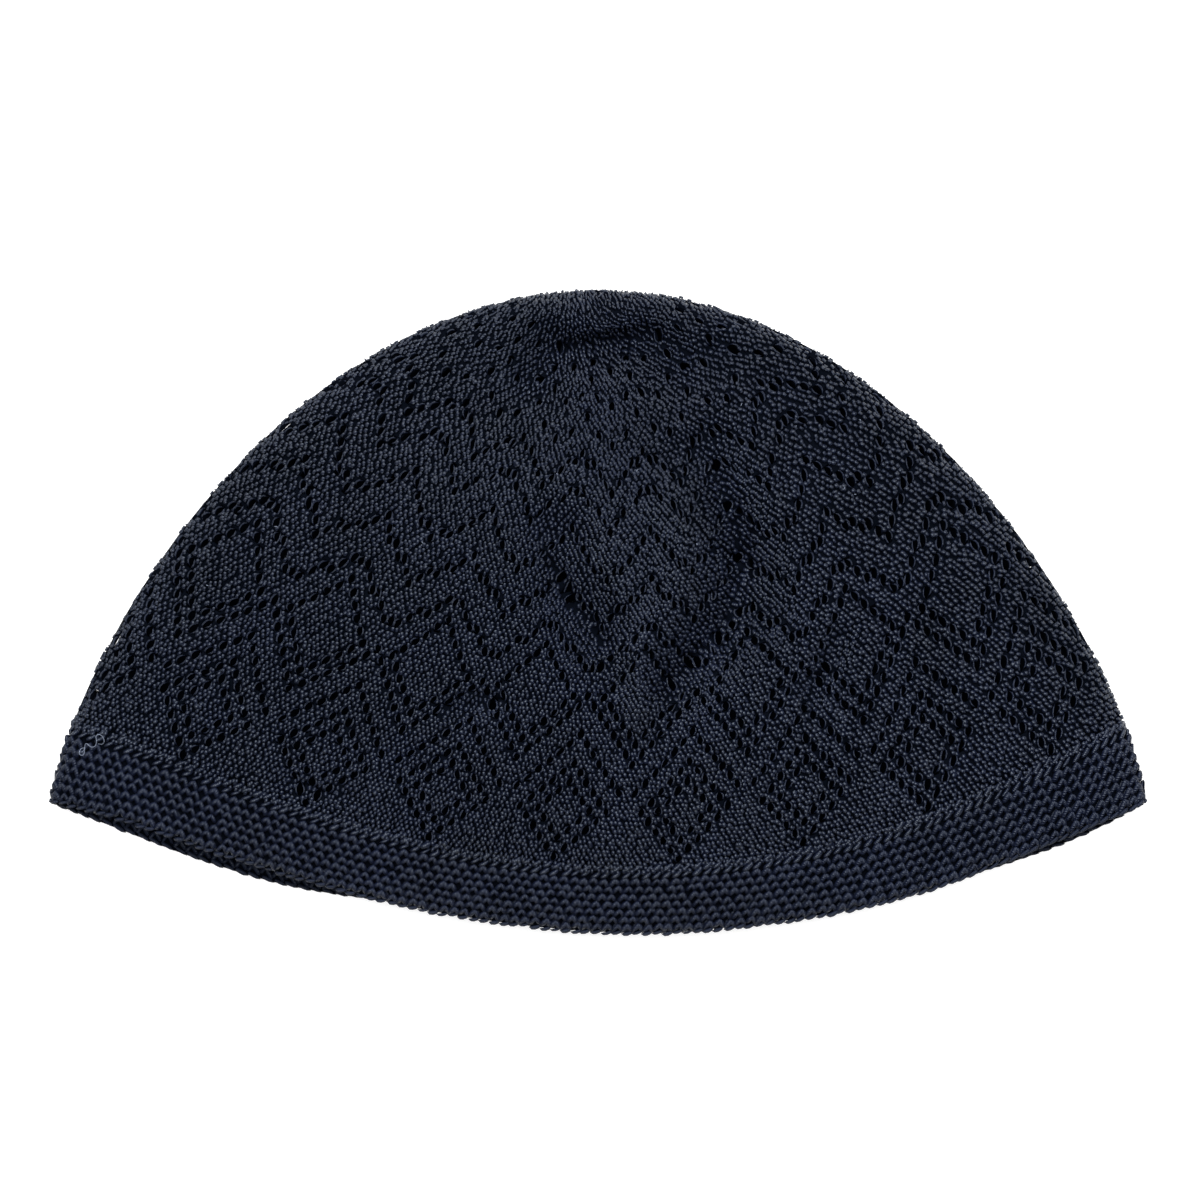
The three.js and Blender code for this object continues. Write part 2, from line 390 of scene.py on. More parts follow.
def yarnMaterial(name, look, twisted):
    # Mercerised cotton yarn, plied and knitted: dyed to a near-black navy, smooth enough that each stitch
    # carries a soft broad glint, with the plies' twist as a fine relief.
    material = bpy.data.materials.new(name)
    material.use_nodes = True
    tree = material.node_tree
    shader = tree.nodes["Principled BSDF"]
    place = addNode(tree, "TexCoord", {}).outputs["Object"]
    patches = noiseNode(tree, look["patch"], look["patchRough"], place)
    colours = addNode(tree, "ValToRGB", {}, [("Fac", patches.outputs["Fac"])])
    for element, at, tone in zip(colours.color_ramp.elements, look["patchEnds"], ("deep", "worn")):
        element.position = at
        element.color = linear(look[tone])
    tree.links.new(colours.outputs["Color"], shader.inputs["Base Color"])
    grain = noiseNode(tree, look["fibre"], look["fibreRough"], place)
    limits = {"To Min": look["rough"][0], "To Max": look["rough"][1]}
    spread = addNode(tree, "MapRange", limits, [("Value", grain.outputs["Fac"])])
    tree.links.new(spread.outputs["Result"], shader.inputs["Roughness"])
    if twisted:
        yarn = addNode(tree, "UVMap", {"uv_map": "yarn"})
        parts = addNode(tree, "SeparateXYZ", {}, [("Vector", yarn.outputs["UV"])])
        turns = addNode(
            tree, "Math", {"operation": "MULTIPLY_ADD", 1: 1 / look["ply"]},
            [(0, parts.outputs["X"]), (2, parts.outputs["Y"])],
        )
        fullTurns = {"operation": "MULTIPLY", 1: 2 * np.pi * look["plies"]}
        angle = addNode(tree, "Math", fullTurns, [(0, turns.outputs[0])])
        height = addNode(tree, "Math", {"operation": "SINE"}, [(0, angle.outputs[0])]).outputs[0]
    else:
        height = grain.outputs["Fac"]
    depth = {"Strength": look["relief"], "Distance": look["twistDepth"] * mm}
    relief = addNode(tree, "Bump", depth, [("Height", height)])
    tree.links.new(relief.outputs["Normal"], shader.inputs["Normal"])
    values = {
        "IOR": look["index"],
        "Specular IOR Level": look["glint"],
        "Specular Tint": linear(look["glintTint"]),
        "Sheen Weight": look["glint"] * look["sheen"],
        "Sheen Roughness": look["sheenRough"],
        "Sheen Tint": linear(look["sheenTint"]),
    }
    for socket, value in values.items():
        shader.inputs[socket].default_value = value
    return material


crownYarn = yarnMaterial("mercerisedCottonCrown", yarnLook, True)
bandYarn = yarnMaterial("mercerisedCottonBand", {**yarnLook, **bandLook}, True)
slantYarn = yarnMaterial("mercerisedCottonSlanted", {**yarnLook, **slantLook}, True)
edgeYarn = yarnMaterial("mercerisedCottonEdge", {**yarnLook, **edgeLook}, True)
# the knitting behind the strands and the cap's inside, coloured in painted shade
paintedShadeYarn = yarnMaterial("mercerisedCottonInsidePaintedShade", {**yarnLook, **paintedShadeLook}, False)
print("materials made")

# The openwork: eyelets by step from the band's top to the tip, and by wale from the middle of the repeat
lace = {
    "bandShare": 0.11,  # part of the way from rim to tip that the band takes up
    "steps": 60,
    "stepLength": 2.15,  # mm
    "lowDiamond": (5, (5, 3)),  # its middle step, and the sizes drawn round it
    "chevron": (13, 6),  # step of its point, and its reach in wales
    "highDiamond": (17, (7, 5)),  # stands between two repeats, the larger one without its upper half
    # step of the valley, climb to the peak, eyelets on each arm
    "zigzags": [
        (19.6, 4.6, 8), (24.2, 4.6, 8), (28.9, 4.7, 7), (34, 4.5, 6),
        (38.4, 3.8, 6), (42.9, 3.2, 3), (47.3, 2.4, 3), (51.3, 1.2, 2),
    ],
    # first step, last step, wales in a repeat, rows of the ground in a step. The crown drops wales as it
    # narrows.
    "tiers": [
        (0, 16, 14, 1), (16, 28, 14, 2), (28, 38, 12, 2), (38, 43, 10, 2),
        (43, 48, 8, 3), (48, 53, 6, 3), (53, 57, 4, 4), (57, 60, 4, 4),
    ],
    "halfWide": 0.7,  # mm, of the opening
    "sizes": [(0, 1.02), (20, 0.96), (30, 0.84), (40, 0.72), (60, 0.68)],  # step, share of that
    "halfTall": 0.39,  # steps
    "rim": 0.14,  # mm round the opening that its own loops take up
    "sunk": 0.4,  # mm that the knitting lies lower beside an eyelet
    "sunkReach": 1.2,  # how far that fades, in sizes of the eyelet
    "tallRoom": 1.2,  # height that the loops take up, in heights of the opening
    "far": 9.0,  # stands for no eyelet near
}


def laceChart(first, last, wales):
    # Where an eyelet stays open and how its line leans: diamonds where steps and wales from their middle
    # add up to a size, a chevron where they add up to its point, zigzags as arms from a valley to a peak.
    step, place = np.meshgrid(np.arange(first, last), np.arange(wales), indexing="ij")
    off = np.minimum(place, wales - place)
    edge = wales / 2 - off
    side = np.sign(wales / 2 - place) * (place > 0)
    lean = np.zeros(step.shape)
    middle, sizes = lace["lowDiamond"]
    low = np.isin(off + np.abs(step - middle), sizes) & (step <= 2 * middle) & (step >= 0)
    lean[low] = (np.sign(middle - step) * side)[low]
    point, reach = lace["chevron"]
    chevron = (step + off == point) & (off <= reach)
    lean[chevron] = -side[chevron]
    middle, sizes = lace["highDiamond"]
    high = np.isin(edge + np.abs(step - middle), sizes)
    high &= (step <= middle) | (edge + step - middle < sizes[0])
    lean[high] = (np.sign(step - middle) * side)[high]
    isOpen = low | chevron | high
    for valley, climb, count in lace["zigzags"]:
        share = np.arange(count) / (count - 1)
        rows = np.rint(valley + climb * share).astype(int) - first
        columns = np.rint(share * wales / 2).astype(int)
        for way in (1, -1):
            inside = (rows >= 0) & (rows < last - first)
            spots = rows[inside], (way * columns[inside]) % wales
            isOpen[spots] = True
            lean[spots] = side[spots]
    return isOpen, lean


def stepRise(step):
    # Steps are even from the top of the band to the tip.
    return lace["bandShare"] + (1 - lace["bandShare"]) * step / lace["steps"]


def eyeletHalf(step):
    # Half an eyelet's width, which shrinks towards the tip.
    return lace["halfWide"] * np.interp(step, *np.transpose(lace["sizes"]))


def roundEyelets(place, step, isOpen, first, pitch):
    # Pushes strands off the eyelets near them: a strand at an offset from an eyelet's middle moves out to
    # the root of that offset squared plus the opening squared, fading to the eyelet's ends. Also how near
    # each station is to an eyelet, as 1 on the ellipse that its loops take up.
    wideHalf = eyeletHalf(step) / pitch
    clear = (eyeletHalf(step) + lace["rim"]) / pitch
    steps, wales = isOpen.shape
    moved = place.copy()
    nearness = np.full(place.shape, lace["far"])
    for stepAway in (-1, 0, 1):
        row = np.floor(step).astype(int) + stepAway
        known = (row >= first) & (row < first + steps)
        up = (step - row - 0.5) / lace["halfTall"]
        for waleAway in (-1, 0, 1):
            column = np.rint(place).astype(int) + waleAway
            there = known & isOpen[np.clip(row - first, 0, steps - 1), column % wales]
            aside = place - column
            near = np.hypot(aside / clear, up / lace["tallRoom"])
            nearness = np.where(there, np.minimum(nearness, near), nearness)
            half = wideHalf * np.sqrt(np.maximum(1 - up**2, 0))
            moved += np.where(there, np.sign(aside) * np.hypot(aside, half) - aside, 0)
    return moved, nearness


def walePitch(rise, wales):
    # Millimetres from one wale to the next on the upper layer, for so many wales round the cap.
    left = smoothRead(waleLay["foldWales"], 1, rise)
    right = smoothRead(waleLay["foldWales"], 2, rise)
    return 2 * halfWidth * sideReach(rise)[0] * waleLay["repeats"] / ((right - left) * wales)


# The last rises at which the wales' pitch is read, for places and for widths
nearTip = 0.99
atTip = 0.999

# The crown's plain knitting: short slanted legs laid as bricks, two to a wale in each row
crownStitch = {
    "rowsPerStep": 2.4,
    # x in mm, lean of the grain to the right of upright in degrees, over most of the crown and at the tip
    "grainRows": [
        (-109, 35, 55), (-59, 33, 55), (-36, 24, 52), (-22, 14, 46), (-9, 6, 19), (0, -8, -28),
        (9, -20, -44), (24, -32, -48), (41, -40, -55), (66, -45, -58), (91, -47, -60),
    ],
    "tipGrain": (40, 58),  # y in mm, where the grain begins to run as at the tip and where it does
    "riseAhead": 0.004,  # over which a wale's direction is read
    "leanMost": 50,  # degrees from the wale
    "leanApart": 9,  # degrees to each side by turns
    "leanUneven": 1.2,  # of that
    "leanFull": 30,  # degrees that the bricks lean
    "foot": 0.05,  # rows
    "head": 0.95,
    "cosLeast": 0.8,  # a leg lengthens as it leans, down to this cosine
    "stations": (0, 0.25, 0.75, 1),  # along a leg
    "wide": 0.17,  # of a wale
    "wideLeaning": 0.36,  # wider by this share where it leans as far as the bricks do
    "high": 0.36,  # mm
    "proud": 0.38,  # mm below the outer face at mid length
    "tucked": 1.3,  # mm below the outer face at the ends
    "foldSunk": (0.12, 1.5),  # mm deeper on the fold itself, and mm over which that fades
    "rowsBelow": 2,  # rows that run on under the band's edge
    "uneven": 0.065,  # wales, and twice that in rows
    "wideUneven": 0.14,
    "depthUneven": 0.13,  # mm
    # first step, last step, lace wales in a repeat, wales round the cap
    "tiers": [
        (0, 8, 14, 196), (8, 16, 14, 184), (16, 22, 14, 168), (22, 28, 14, 152), (28, 33, 12, 136),
        (33, 38, 12, 118), (38, 43, 10, 100), (43, 46, 8, 84), (46, 48, 8, 78), (48, 51, 6, 70),
        (51, 53, 6, 58), (53, 55, 4, 46), (55, 57, 4, 34), (57, 59, 4, 20),
    ],
}


def grainLean(wale, rise):
    # Degrees that the grain leans from its wale: its direction seen from above, read by place, less the
    # wale's own direction there.
    here = stitchPoint(wale, rise, np.zeros(wale.shape)) / mm
    ahead = stitchPoint(wale, rise + crownStitch["riseAhead"], np.zeros(wale.shape)) / mm
    waleLean = np.degrees(np.arctan2(ahead[..., 0] - here[..., 0], ahead[..., 1] - here[..., 1]))
    x, mostLean, tipLean = np.transpose(crownStitch["grainRows"])
    low, high = crownStitch["tipGrain"]
    share = np.clip((here[..., 1] - low) / (high - low), 0, 1)
    grain = np.interp(here[..., 0], x, mostLean) * (1 - share) + np.interp(here[..., 0], x, tipLean) * share
    most = crownStitch["leanMost"]
    return np.where(layerPlace(wale, rise)[0], np.clip(grain - waleLean, -most, most), 0)


def crownLegs(first, last, laceWales, wales):
    # Every leg of a tier as a straight run of four stations, each row half a leg on from the last, and
    # leaning left and right by turns. Legs on an eyelet are left out.
    perStep = crownStitch["rowsPerStep"]
    start = np.ceil(first * perStep) if first else -crownStitch["rowsBelow"]
    rows = np.arange(start, np.ceil(last * perStep))
    row, stitch, way = np.meshgrid(rows, np.arange(wales), (-1, 1), indexing="ij")
    row, stitch, way = (a.reshape(-1, 1).astype(float) for a in (row, stitch, way))
    t = np.array([crownStitch["stations"]])
    odd = row % 2
    brick = stitch + 0.25 * way + 0.25 * odd
    middle = np.clip(stepRise((row + 0.5) / perStep), 0, nearTip)
    lean = grainLean(0.5 + brick * waleLay["repeats"] / wales, middle)
    wobble = rng.normal(0, crownStitch["leanUneven"], row.shape)
    lean = np.radians(lean + crownStitch["leanApart"] * (way + wobble))
    span = crownStitch["head"] - crownStitch["foot"]
    length = span / perStep * lace["stepLength"] / np.maximum(np.cos(lean), crownStitch["cosLeast"])
    slant = np.sin(lean) * length * (t - 0.5) / walePitch(middle, wales)
    wander = rng.normal(0, crownStitch["uneven"], row.shape)
    climb = rng.normal(0, crownStitch["uneven"] * 2, row.shape)
    place = (brick + slant + wander) * waleLay["repeats"] * laceWales / wales
    level = row + 0.5 + np.cos(lean) * length * (t - 0.5) * perStep / lace["stepLength"] + climb
    step = level / perStep
    rise = stepRise(step)
    isOpen = laceChart(first - 1, last + 1, laceWales)[0]
    lacePitch = walePitch(np.clip(rise, 0, nearTip), laceWales * waleLay["repeats"])
    place, nearness = roundEyelets(place, step, isOpen, first - 1, lacePitch)
    leaning = np.clip(np.abs(lean) / np.radians(crownStitch["leanFull"]), 0, 1)
    wide = crownStitch["wide"] * walePitch(np.clip(rise, 0, atTip), wales)
    wide = wide * (1 + crownStitch["wideLeaning"] * leaning)
    wide = wide * rng.normal(1, crownStitch["wideUneven"], row.shape)
    nearest = nearness[:, 1:3].min(1, keepdims=True)
    share = eyeletHalf(step[:, 1:2]) / lace["halfWide"]
    sunk = lace["sunk"] * share**2 * np.exp(-((np.maximum(nearest - 1, 0) / lace["sunkReach"]) ** 2))
    across = layerPlace(0.5 + place[:, 1:2] / laceWales, middle)[1]
    inward = (1 - np.abs(across)) * halfWidth * sideReach(middle)[0]
    deeper, fade = crownStitch["foldSunk"]
    sunk = sunk + deeper * np.exp(-((inward / fade) ** 2))
    depth = np.where(np.isin(t, (0, 1)), crownStitch["tucked"], crownStitch["proud"])
    depth = depth + sunk + rng.normal(0, crownStitch["depthUneven"], row.shape)
    kept = nearest[:, 0] > 1
    high = np.full(wide.shape, crownStitch["high"])
    return [a[kept] for a in (0.5 + place / laceWales, rise, depth, wide, high)]


# The lace: a thin strand to each side of every eyelet, drawn round it and leaning with its line
laceLoop = {
    "stations": (-1, -0.5, 0, 0.5, 1),  # from end to end
    "lean": 0.22,  # mm to each side along the line of eyelets
    "reach": 0.54,  # steps to each end
    "endGap": 0.1,  # mm from the eyelet's middle at the strand's ends
    "off": 0.14,  # mm from the opening's edge at mid length
    "bow": 2.4,  # power of the way from the middle, where 2 would be a parabola
    "wide": 0.19,  # mm, and less where the wales lie closer than the full pitch
    "fullPitch": 1.3,  # mm
    "high": 0.3,
    "proud": 0.92,
    "tucked": 1.5,
    "uneven": 0.1,  # mm
    "sizeUneven": 0.14,
    "stepUneven": 0.07,
}


def laceLoops(first, last, wales):
    # Strands bowed as brackets round each eyelet and sheared along the line of eyelets, each a little
    # longer, wider and higher or lower than the next.
    isOpen, lean = laceChart(first, last, wales)
    row, column = np.nonzero(isOpen)
    slope = lean[row, column]
    repeats = np.arange(waleLay["repeats"])
    pick, turn, way = np.meshgrid(np.arange(len(row)), repeats, (-1, 1), indexing="ij")
    pick, turn, way = (a.reshape(-1, 1) for a in (pick, turn, way))
    up = np.array([laceLoop["stations"]])
    reach = laceLoop["reach"] * rng.normal(1, laceLoop["sizeUneven"], pick.shape)
    step = first + row[pick] + 0.5 + up * reach
    step = step + rng.normal(0, laceLoop["stepUneven"], pick.shape)
    rise = stepRise(step)
    pitch = walePitch(np.clip(rise, 0, nearTip), wales * waleLay["repeats"])
    bulge = eyeletHalf(step) + laceLoop["off"] - laceLoop["endGap"]
    bulge = bulge + rng.normal(0, laceLoop["uneven"], pick.shape)
    shear = slope[pick] * laceLoop["lean"] + rng.normal(0, laceLoop["uneven"], pick.shape)
    aside = way * (laceLoop["endGap"] + bulge * (1 - np.abs(up) ** laceLoop["bow"])) + shear * up
    place = column[pick] + turn * wales + aside / pitch
    depth = laceLoop["proud"] + (laceLoop["tucked"] - laceLoop["proud"]) * np.abs(up) ** 3
    depth = depth + rng.normal(0, laceLoop["uneven"], pick.shape)
    wide = laceLoop["wide"] * np.minimum(pitch / laceLoop["fullPitch"], 1)
    wide = wide * rng.normal(1, laceLoop["sizeUneven"], pick.shape)
    high = wide * laceLoop["high"] / laceLoop["wide"]
    return 0.5 + place / wales, rise, depth, wide, high


def layStrands(names, runs, stations, sides, material):
    # Runs of strands as four pieces: the upper layer's left and right half in full, the lower layer's with
    # fewer stations and sides, because it lies on the floor.
    wale, rise, depth, wide, high = (np.concatenate(part) for part in zip(*runs))
    middle = wale.shape[1] // 2
    upper, across = layerPlace(wale[:, middle], np.clip(rise[:, middle], 0, 1))
    chosen = [upper & (across < 0), upper & (across >= 0), ~upper & (across < 0), ~upper & (across >= 0)]
    for i, (name, part) in enumerate(zip(names, chosen)):
        layer = i // 2
        spots = np.ix_(np.flatnonzero(part), stations[layer])
        runsHere = (a[spots] for a in (wale, rise, depth, wide, high))
        strandPiece(name, strands(*runsHere, sides[layer]), material)


layStrands(
    ["crownStitchesLeft", "crownStitchesRight", "crownStitchesUnderLeft", "crownStitchesUnderRight"],
    [crownLegs(*tier) for tier in crownStitch["tiers"]],
    stations=[[0, 1, 2, 3], [0, 1, 3]], sides=[5, 4], material=crownYarn,
)
layStrands(
    ["laceLoopsLeft", "laceLoopsRight", "laceLoopsUnderLeft", "laceLoopsUnderRight"],
    [laceLoops(*tier[:3]) for tier in lace["tiers"][:-1]],
    stations=[[0, 1, 2, 3, 4], [0, 2, 4]], sides=[5, 4], material=crownYarn,
)


def pierced(kept, outer, inner):
    # A wall with two faces over a grid that closes on itself: the kept cells on both faces, and a strip
    # between them along every edge where the next cell is left out.
    rows, columns = kept.shape
    index = np.arange((rows + 1) * columns).reshape(rows + 1, columns)
    a, d = index[:-1], index[1:]
    b, c = np.roll(a, -1, axis=1), np.roll(d, -1, axis=1)
    back = index.size
    below = np.vstack([np.zeros((1, columns), bool), kept[:-1]])
    above = np.vstack([kept[1:], np.zeros((1, columns), bool)])
    edges = [
        (b, a, kept & ~below), (c, b, kept & ~np.roll(kept, -1, axis=1)),
        (d, c, kept & ~above), (a, d, kept & ~np.roll(kept, 1, axis=1)),
    ]
    faces = [np.stack([a, b, c, d], axis=-1)[kept], np.stack([d, c, b, a], axis=-1)[kept] + back]
    for start, end, bare in edges:
        faces.append(np.stack([start, end, end + back, start + back], axis=-1)[bare])
    flat = np.concatenate([np.full(len(f), i > 1) for i, f in enumerate(faces)])
    points = np.concatenate([outer.reshape(-1, 3), inner.reshape(-1, 3)])
    return points, np.concatenate(faces), flat


groundFade = 2.5  # mm from the fold over which a ground's outer face comes up


def groundOf(rises, wales, outer, inner, atFold, kept):
    # A pierced wall between two depths, with its map by turn and rise. Towards the folds its outer face
    # comes up to a lesser depth, which closes the outline behind the strands.
    rise, wale = np.meshgrid(rises, wales, indexing="ij")
    across = layerPlace(wale, rise)[1]
    inward = (1 - np.abs(across)) * halfWidth * sideReach(rise)[0]
    face = outer + (atFold - outer) * np.exp(-((inward / groundFade) ** 2))
    surface = stitchPoint(wale, rise, 0)
    normal = clothNormal(wale, rise) * mm
    points, faces, flat = pierced(kept, surface - normal * face[..., None], surface - normal * inner)
    bakeMap = np.stack([(wale - wales[0]) / waleLay["repeats"], rise], axis=-1).reshape(-1, 2)
    return points, faces, np.concatenate([bakeMap, bakeMap]), flat


def makeGround(name, parts, node):
    # Pierced walls end to end as one piece that stands for a solid, coloured in painted shade.
    starts = np.cumsum([0] + [len(p[0]) for p in parts])
    faces = np.concatenate([p[1] + start for p, start in zip(parts, starts)])
    points, bakeMap, flat = (np.concatenate([p[i] for p in parts]) for i in (0, 2, 3))
    used, faces = np.unique(faces, return_inverse=True)
    maps = {"OFBake": bakeMap[used]}
    piece = makePiece(name, points[used], faces.reshape(-1, 4), maps, paintedShadeYarn, flat)
    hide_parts(node)


# The crown's ground: the knitting behind its strands, with the upper layer's eyelets cut through; its
# near-black is painted shade for the gaps between strands and inside the eyelets
crownGround = {
    "depths": (1.2, 1.7, 0.65),  # mm, of its outer and inner face, and of the outer one at the fold
    "lastRise": 0.998,
    "openFrom": 0.98,  # across, from where the lower layer's eyelets are cut too
    "openMost": 0.46,  # wales to each side
}
groundParts = []
for first, last, wales, rowsPerStep in lace["tiers"]:
    isOpen = laceChart(first, last, wales)[0]
    places = np.arange(waleLay["repeats"] * wales)
    pitch = walePitch(stepRise((first + last) / 2), waleLay["repeats"] * wales)
    halfOpen = min(eyeletHalf((first + last) / 2) / pitch, crownGround["openMost"])
    edges = np.stack([places - halfOpen, places + halfOpen], axis=1).ravel()
    kept = np.ones((last - first, len(edges)), bool)
    rowRise = stepRise(np.arange(first, last) + 0.5)
    spotRise, spotWale = np.meshgrid(rowRise, 0.5 + places / wales, indexing="ij")
    onTop, across = layerPlace(spotWale, spotRise)
    through = onTop | (np.abs(across) > crownGround["openFrom"])
    kept[:, 0::2] = ~(np.tile(isOpen, (1, waleLay["repeats"])) & through)
    kept = np.repeat(kept, rowsPerStep, axis=0)
    rises = stepRise(np.linspace(first, last, len(kept) + 1))
    rises = np.minimum(rises, crownGround["lastRise"])
    groundParts.append(groundOf(rises, 0.5 + edges / wales, *crownGround["depths"], kept))
makeGround("crownGround", groundParts, "crown")

# The band: a lattice of chunky arched stitches below two slanted rows, with a chain along its rim
bandKnit = {
    "wales": 200,  # round the cap
    "rows": 7,
    "firstRow": 0.005,  # rise of the lowest row's feet
    "rowRise": 0.0119,
    "stations": (-1, -0.78, -0.4, 0, 0.4, 0.78, 1),  # along an arch
    "thickAlong": (0, 0.9, 1, 1, 1, 0.9, 0),
    "reach": 0.5,  # wales to each side of an arch's middle
    "top": 0.95,  # rows
    "drop": 1.0,  # rows from an arch's middle to its ends
    "bend": 1.4,  # power of the way from the middle, where 2 would be a parabola
    "thick": 0.58,  # mm
    "proud": 0.5,  # mm below the outer face at the middle
    "tucked": 1.35,
    "uneven": 0.06,  # wales and rows
    "depthUneven": 0.08,  # mm
    "thickUneven": 0.1,
    "insideRows": 3,
    "insideDepths": (2.0, 1.4),  # mm, at the middle and at the ends
    "ground": (1.5, 1.9, 0.7),  # depth of its faces, and of the outer one at the fold
    "groundFrom": 0.0015,
    "groundRows": 6,
}
# Strands of the slanted rows and of the rim's chain
slantKnit = {
    "stations": (0, 0.25, 0.5, 0.75, 1),
    "thickAlong": (0, 0.85, 1, 0.85, 0),
    "riseUneven": 0.0007,
    "thickUneven": 0.12,
    "sides": 5,
}


def bandArches(rows, proud, tucked):
    # One arch to each stitch, each row half a stitch on from the last: it drops by a power of the way from
    # its middle, and its ends sink by the cube of it under the arches of the row below.
    row, stitch = np.meshgrid(np.arange(rows), np.arange(bandKnit["wales"]), indexing="ij")
    row, stitch = (a.reshape(-1, 1).astype(float) for a in (row, stitch))
    t = np.array([bandKnit["stations"]])
    wander, climb, tilt = rng.normal(0, bandKnit["uneven"], (3, *row.shape))
    place = stitch + 0.5 * (row % 2) + bandKnit["reach"] * t + wander
    fall = bandKnit["drop"] * np.abs(t) ** bandKnit["bend"]
    level = row + bandKnit["top"] - fall + climb + 2 * tilt * t
    rise = bandKnit["firstRow"] + bandKnit["rowRise"] * level
    depth = proud + (tucked - proud) * np.abs(t) ** 3
    depth = depth + rng.normal(0, bandKnit["depthUneven"], row.shape)
    thick = np.array([bandKnit["thickAlong"]]) * bandKnit["thick"]
    thick = thick * rng.normal(1, bandKnit["thickUneven"], row.shape)
    return 0.5 + place * waleLay["repeats"] / bandKnit["wales"], rise, depth, thick, thick


def slantedRow(rise, climb, reach, wide, depths):
    # One strand to each wale, leaning to the right as it climbs.
    stitch = np.arange(bandKnit["wales"])[:, None].astype(float)
    t = np.array([slantKnit["stations"]])
    place = stitch + reach * (t - 0.5) + rng.normal(0, bandKnit["uneven"], stitch.shape)
    level = rise + climb * (t - 0.5) + rng.normal(0, slantKnit["riseUneven"], stitch.shape)
    depth = np.array([depths]) + rng.normal(0, bandKnit["depthUneven"], stitch.shape)
    thick = np.array([slantKnit["thickAlong"]]) * wide
    thick = thick * rng.normal(1, slantKnit["thickUneven"], stitch.shape)
    return 0.5 + place * waleLay["repeats"] / bandKnit["wales"], level, depth, thick, thick


layStrands(
    ["bandStitchesLeft", "bandStitchesRight", "bandStitchesUnderLeft", "bandStitchesUnderRight"],
    [bandArches(bandKnit["rows"], bandKnit["proud"], bandKnit["tucked"])],
    stations=[[0, 1, 2, 3, 4, 5, 6], [0, 1, 3, 5, 6]], sides=[6, 4], material=bandYarn,
)
# Rise and climb are shares of the way from rim to tip, reach is in wales, the rest in mm
edgeRows = {
    "bandTopRow": (slantYarn, slantedRow(
        rise=0.105, climb=0.0125, reach=1.05, wide=0.52, depths=(1.2, 0.62, 0.52, 0.62, 1.2),
    )),
    "bandSlantRow": (slantYarn, slantedRow(
        rise=0.0945, climb=0.0125, reach=1.05, wide=0.52, depths=(1.2, 0.58, 0.46, 0.58, 1.2),
    )),
    "rimChain": (edgeYarn, slantedRow(
        rise=0.0036, climb=0.0055, reach=1.2, wide=0.44, depths=(1.1, 0.55, 0.42, 0.55, 1.1),
    )),
    "rimChainInside": (edgeYarn, slantedRow(
        rise=0.0036, climb=0.0055, reach=1.2, wide=0.44, depths=(1.3, 1.85, 2.0, 1.85, 1.3),
    )),
    "bandStitchesInside": (bandYarn, bandArches(bandKnit["insideRows"], *bandKnit["insideDepths"])),
}
for name, (yarn, run) in edgeRows.items():
    strandPiece(name, strands(*run, slantKnit["sides"]), yarn)

# The band's ground behind its stitches, also in the painted shade colour
bandRises = np.linspace(bandKnit["groundFrom"], lace["bandShare"], bandKnit["groundRows"] + 1)
bandWales = 0.5 + np.arange(bandKnit["wales"]) * waleLay["repeats"] / bandKnit["wales"]
whole = np.ones((bandKnit["groundRows"], bandKnit["wales"]), bool)
bandParts = [groundOf(bandRises, bandWales, *bandKnit["ground"], whole)]
makeGround("bandGround", bandParts, "band")

# The tip: the last round drawn together, strands in to the middle and one turn of yarn round them
tipGather = {
    "stations": (0, 0.3, 0.6, 0.85, 1),
    "thick": 0.3,  # mm
    "thickUneven": 0.1,
    "sides": 6,
    "strands": 9,
    "strandThick": (0, 0.9, 1, 0.8, 0),
    "rises": (0.982, 0.999),
    "riseUneven": 0.001,
    "depths": (0.4, 0.5),  # mm at mid length, and how much more at the ends
    "turns": 6,  # strands that make up the turn of yarn
    "turnThick": (0, 0.9, 1, 0.9, 0),
    "turnReach": 3,  # repeats
    "turnUneven": 0.1,
    "turnRise": 0.991,
    "turnClimb": 0.004,
    "turnDepths": (0.2, 0.6),
}
t = np.array([tipGather["stations"]])
away = np.abs(2 * t - 1)
spot = np.arange(tipGather["strands"])[:, None] * waleLay["repeats"] / tipGather["strands"]
lowRise, highRise = tipGather["rises"]
inRise = lowRise + (highRise - lowRise) * t + rng.normal(0, tipGather["riseUneven"], spot.shape)
thick = np.array([tipGather["strandThick"]]) * tipGather["thick"]
thick = thick * rng.normal(1, tipGather["thickUneven"], spot.shape)
depth = tipGather["depths"][0] + tipGather["depths"][1] * away**2 + 0 * spot
inward = spot + 0 * t, inRise, depth, thick, thick
spot = np.arange(tipGather["turns"])[:, None] * waleLay["repeats"] / tipGather["turns"]
along = spot + (t - 0.5) * tipGather["turnReach"] + rng.normal(0, tipGather["turnUneven"], spot.shape)
turnRise = tipGather["turnRise"] + tipGather["turnClimb"] * (t - 0.5) + 0 * spot
thick = np.array([tipGather["turnThick"]]) * tipGather["thick"]
thick = thick * rng.normal(1, tipGather["thickUneven"], spot.shape)
depth = tipGather["turnDepths"][0] + tipGather["turnDepths"][1] * away + 0 * spot
turned = along, turnRise, depth, thick, thick
runs = (np.concatenate(part) for part in zip(inward, turned))
strandPiece("tipGather", strands(*runs, tipGather["sides"]), crownYarn)
